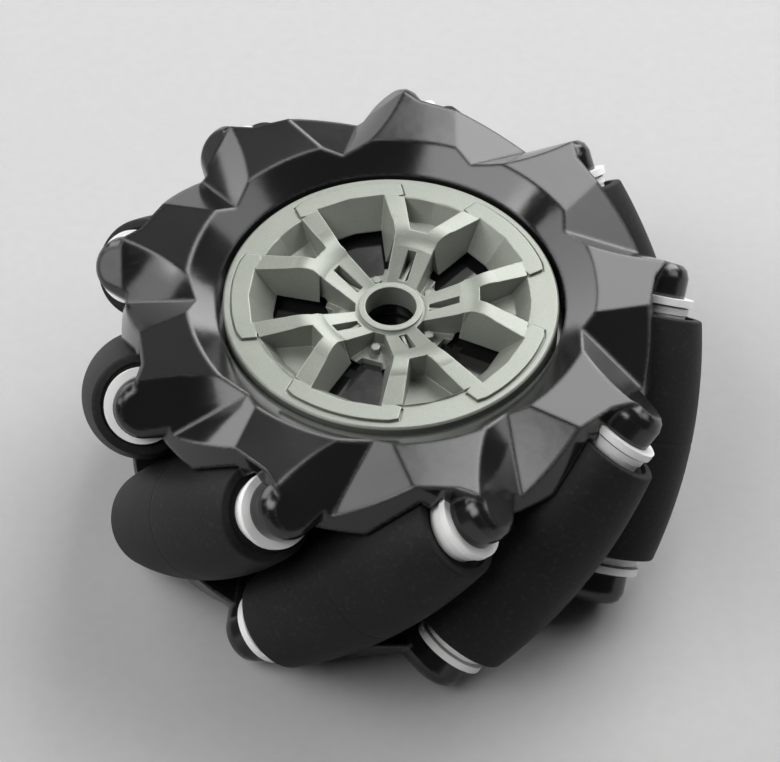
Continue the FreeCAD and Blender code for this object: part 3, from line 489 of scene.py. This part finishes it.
def tread_profile(tree, size, share, end_row):
    """Distance along the pin and radius of every row."""
    half, rim_round = size["Half Length"], size["Rim Round"]
    barrel_end = sum_up(tree, "SUBTRACT", half, rim_round)
    along = sum_up(tree, "MULTIPLY", sum_up(tree, "POWER", share, CROWDING), barrel_end)
    seam = put(tree, "ShaderNodeMapRange", {
        "Value": along, "From Min": 0.0, "From Max": size["Seam Half Width"],
        "To Min": size["Seam Depth"], "To Max": 0.0})
    barrel = sum_up(tree, "SUBTRACT", barrel_rule(tree, size, along), seam.outputs["Result"])
    rim = barrel_rule(tree, size, barrel_end)
    lip = sum_up(tree, "SUBTRACT", rim, size["Lip"])
    back = sum_up(tree, "SUBTRACT", half, size["Recess"])
    core = size["Core Radius"]

    def less(start, part):
        """A size less a part of the rim's round."""
        return sum_up(tree, "SUBTRACT", start, sum_up(tree, "MULTIPLY", rim_round, part))

    distance = choose(tree, end_row, [
        along, less(half, LACK_AT_30), less(half, LACK_AT_60), half, half, back, back, 0.0])
    radius = choose(tree, end_row, [
        barrel, less(rim, LACK_AT_60), less(rim, LACK_AT_30), less(rim, 1.0),
        lip, less(lip, LIP_SLOPE), core, core])
    return distance, radius


print("profile rule ready")

# %% [markdown]
# ## From grid to roller
# The grid is rolled up by the angle of its columns and closed along the meeting
# line. Then the roller leans over by the skew, moves out to the pin circle and
# turns to its place round the wheel. Faces that meet at a sharp edge stay sharp.

# %% Tread tree
MEETING_GAP = 0.000004
SHARP_ANGLE = 0.75  # radians between two faces


def place_tread(tree, size, mesh):
    """Lean the roller over, move it out and turn it to its place."""
    lean = put(tree, "ShaderNodeCombineXYZ", {"X": sum_up(tree, "MULTIPLY", size["Skew"], -1.0)})
    out = put(tree, "ShaderNodeCombineXYZ", {"X": size["Pin Circle"]})
    leaning = put(tree, "GeometryNodeTransform", {
        "Geometry": mesh, "Translation": out.outputs[0], "Rotation": lean.outputs[0]})
    turn = put(tree, "ShaderNodeCombineXYZ", {"Z": size["Turn"]})
    turned = put(tree, "GeometryNodeTransform", {
        "Geometry": leaning.outputs[0], "Rotation": turn.outputs[0]})
    return turned.outputs[0]


def tread_tree():
    """The tree that rolls a grid into one roller's rubber."""
    tree = bpy.data.node_groups.new("roller_tread", "GeometryNodeTree")
    for name, kind, value in TREAD_INPUTS:
        socket = tree.interface.new_socket(name, in_out="INPUT", socket_type=kind)
        if value is not None:
            socket.default_value = value
    tree.interface.new_socket("Geometry", in_out="OUTPUT", socket_type="NodeSocketGeometry")
    size = put(tree, "NodeGroupInput").outputs
    grid, angle, side, share, end_row = tread_rows(tree, size)
    distance, radius = tread_profile(tree, size, share, end_row)
    rolled = put(tree, "ShaderNodeCombineXYZ", {
        "X": sum_up(tree, "MULTIPLY", radius, one(tree, "COSINE", angle)),
        "Y": sum_up(tree, "MULTIPLY", radius, one(tree, "SINE", angle)),
        "Z": sum_up(tree, "MULTIPLY", distance, side)})
    barrel = put(tree, "GeometryNodeSetPosition", {"Geometry": grid, "Position": rolled.outputs[0]})
    closed = put(tree, "GeometryNodeMergeByDistance", {
        "Geometry": barrel.outputs[0], "Distance": MEETING_GAP})
    placed = place_tread(tree, size, closed.outputs[0])
    smooth = put(tree, "GeometryNodeSetShadeSmooth", {"Geometry": placed})
    bend = put(tree, "GeometryNodeInputMeshEdgeAngle").outputs[0]
    fold = sum_up(tree, "GREATER_THAN", bend, SHARP_ANGLE)
    creased = put(tree, "GeometryNodeSetShadeSmooth", {
        "Geometry": smooth.outputs[0], "Selection": fold, "Shade Smooth": False}, domain="EDGE")
    solid = put(tree, "GeometryNodeRealizeInstances", {"Geometry": creased.outputs[0]})
    painted = put(tree, "GeometryNodeSetMaterial", {
        "Geometry": solid.outputs[0], "Material": size["Material"]})
    put(tree, "NodeGroupOutput", {"Geometry": painted.outputs[0]})
    return tree


treads = tread_tree()
print("tread tree", len(treads.nodes), "nodes")

# %% [markdown]
# ## Nine plain meshes
# Each roller turns by itself, so each tread is a mesh of its own that rides on its
# roller's body and takes the place of the plain CAD tread. The tree is run on an
# empty helper object, and what it makes is kept as a plain mesh.


# %% Make the nine treads
def grow(name, tree, sizes):
    """A plain mesh object from a tree, with inputs set by their identifiers."""
    source = bpy.data.objects.new(name + "_source", bpy.data.meshes.new(name + "_source"))
    bpy.context.scene.collection.objects.link(source)
    modifier = source.modifiers.new("tree", "NODES")
    modifier.node_group = tree
    for item in tree.interface.items_tree:
        if item.item_type == "SOCKET" and item.in_out == "INPUT" and item.name in sizes:
            modifier[item.identifier] = sizes[item.name]
    shown = source.evaluated_get(bpy.context.evaluated_depsgraph_get())
    mesh = bpy.data.meshes.new_from_object(shown)
    mesh.name = name
    bpy.data.objects.remove(source)
    piece = bpy.data.objects.new(name, mesh)
    bpy.context.scene.collection.objects.link(piece)
    return piece


for number in range(1, ROLLERS + 1):
    turn = FIRST_ROLLER + 2 * math.pi / ROLLERS * (number - 1)
    tread = grow("tread_rubber_%d" % number, treads, {"Turn": turn, "Material": rubber})
    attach(tread, "roller_%d" % number)
    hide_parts("roller_tread_%d" % number)
print("tread faces", len(tread.data.polygons))

# %% [markdown]
# ## Floor
# A pale, plain studio floor carries the wheel on the flats of its rear lobes. It is
# matte paper with a faint fibre. A curved backdrop would hide the wheel from behind,
# so the floor is just one flat square, wide enough for a view from any side.

# %% Floor
FLOOR_Z = CAD_BOX[0][2]
FLOOR_HALF = 2.2
FIBRE_SPOT = 0.002
PAPER_SHADE, PAPER_LIGHT = grey(0.4), grey(0.44)

corners = [(x * FLOOR_HALF, y * FLOOR_HALF, FLOOR_Z) for x, y in ((-1, -1), (1, -1), (1, 1), (-1, 1))]
floor_mesh = bpy.data.meshes.new("floor")
floor_mesh.from_pydata(corners, [], [(0, 1, 2, 3)])
floor = bpy.data.objects.new("floor", floor_mesh)
bpy.context.scene.collection.objects.link(floor)
floor_paint, tree, shader, place = fresh_material("floor_paper")
fibre = noise(tree, place, FIBRE_SPOT, 3.0)
tree.links.new(blend(tree, fibre, PAPER_SHADE, PAPER_LIGHT), shader.inputs["Base Color"])
shader.inputs["Roughness"].default_value = 0.75
floor_mesh.materials.append(floor_paint)
print("floor at", round(FLOOR_Z, 5))

# %% [markdown]
# ## Light
# Black gloss shows its lamps more than its colour, so each lamp is placed where
# the facets of the frame mirror it. The direction of a lamp is given as it is seen
# from the wheel: a bearing, clockwise from straight behind the wheel, and a height
# above the floor. Its size is given in degrees too, and its brightness as the
# radiance of its face, so that moving a lamp doesn't change how bright it looks.

# %% Lamps
LAMP_DISTANCE = 1.1


def softbox(name, bearing, height, width, tall, radiance, roll=0.0):
    """A rectangular lamp that faces the wheel from a bearing and height in degrees."""
    turn, rise = math.radians(bearing), math.radians(height)
    towards = Vector((math.sin(turn) * math.cos(rise), math.cos(turn) * math.cos(rise), math.sin(rise)))
    data = bpy.data.lights.new(name, "AREA")
    data.shape = "RECTANGLE"
    data.size = 2 * LAMP_DISTANCE * math.tan(math.radians(width / 2))
    data.size_y = 2 * LAMP_DISTANCE * math.tan(math.radians(tall / 2))
    data.energy = radiance * math.pi * data.size * data.size_y
    lamp = bpy.data.objects.new(name, data)
    facing = (-towards).to_track_quat("-Z", "Y").to_matrix().to_4x4()
    rolled = facing @ Matrix.Rotation(math.radians(roll), 4, "Z")
    lamp.matrix_world = Matrix.Translation(towards * LAMP_DISTANCE) @ rolled
    bpy.context.scene.collection.objects.link(lamp)
    return lamp


softbox("back_right", 29.2, 37.5, 44.0, 58.0, 5.4, roll=18.0)
softbox("right", 80.0, 38.0, 20.0, 34.0, 2.7)
softbox("front_left", -121.0, 54.0, 42.0, 26.0, 5.0)
softbox("left", -98.5, 32.0, 14.0, 32.0, 2.9)
softbox("back_left", -52.0, 26.0, 44.0, 34.0, 3.2)
softbox("back_dim", -14.0, 58.0, 20.0, 30.0, 0.3)
print("lamps", len(bpy.data.lights))

# %% [markdown]
# ## World
# The room is dark above and a little lighter near the floor, which keeps the facets
# that mirror no lamp black. The camera sees a plain pale wall instead, so a low
# view has a light background without any more light on the wheel. Only the camera
# sees it, because black gloss that mirrored a pale wall all round would turn grey.

# %% World
# How bright the room is for a ray that points this far up
LOW_RAY, LOW_GLOW = 0.04, 0.16
HIGH_RAY, HIGH_GLOW = 0.2, 0.045
WALL_GREY = grey(0.5)

world = bpy.data.worlds.new("studio")
world.use_nodes = True
tree = world.node_tree
ray = put(tree, "ShaderNodeSeparateXYZ", {0: put(tree, "ShaderNodeTexCoord").outputs["Generated"]})
level = spread(tree, ray.outputs["Z"], LOW_GLOW, HIGH_GLOW, LOW_RAY, HIGH_RAY)
lit = blend(tree, level, grey(0.0), grey(1.0))
seen = put(tree, "ShaderNodeLightPath").outputs["Is Camera Ray"]
wall = blend(tree, seen, lit, WALL_GREY)
tree.links.new(wall, tree.nodes["Background"].inputs["Color"])
bpy.context.scene.world = world
bpy.context.scene.view_settings.view_transform = "Standard"
print("world", world.name, "with", len(tree.nodes), "nodes")
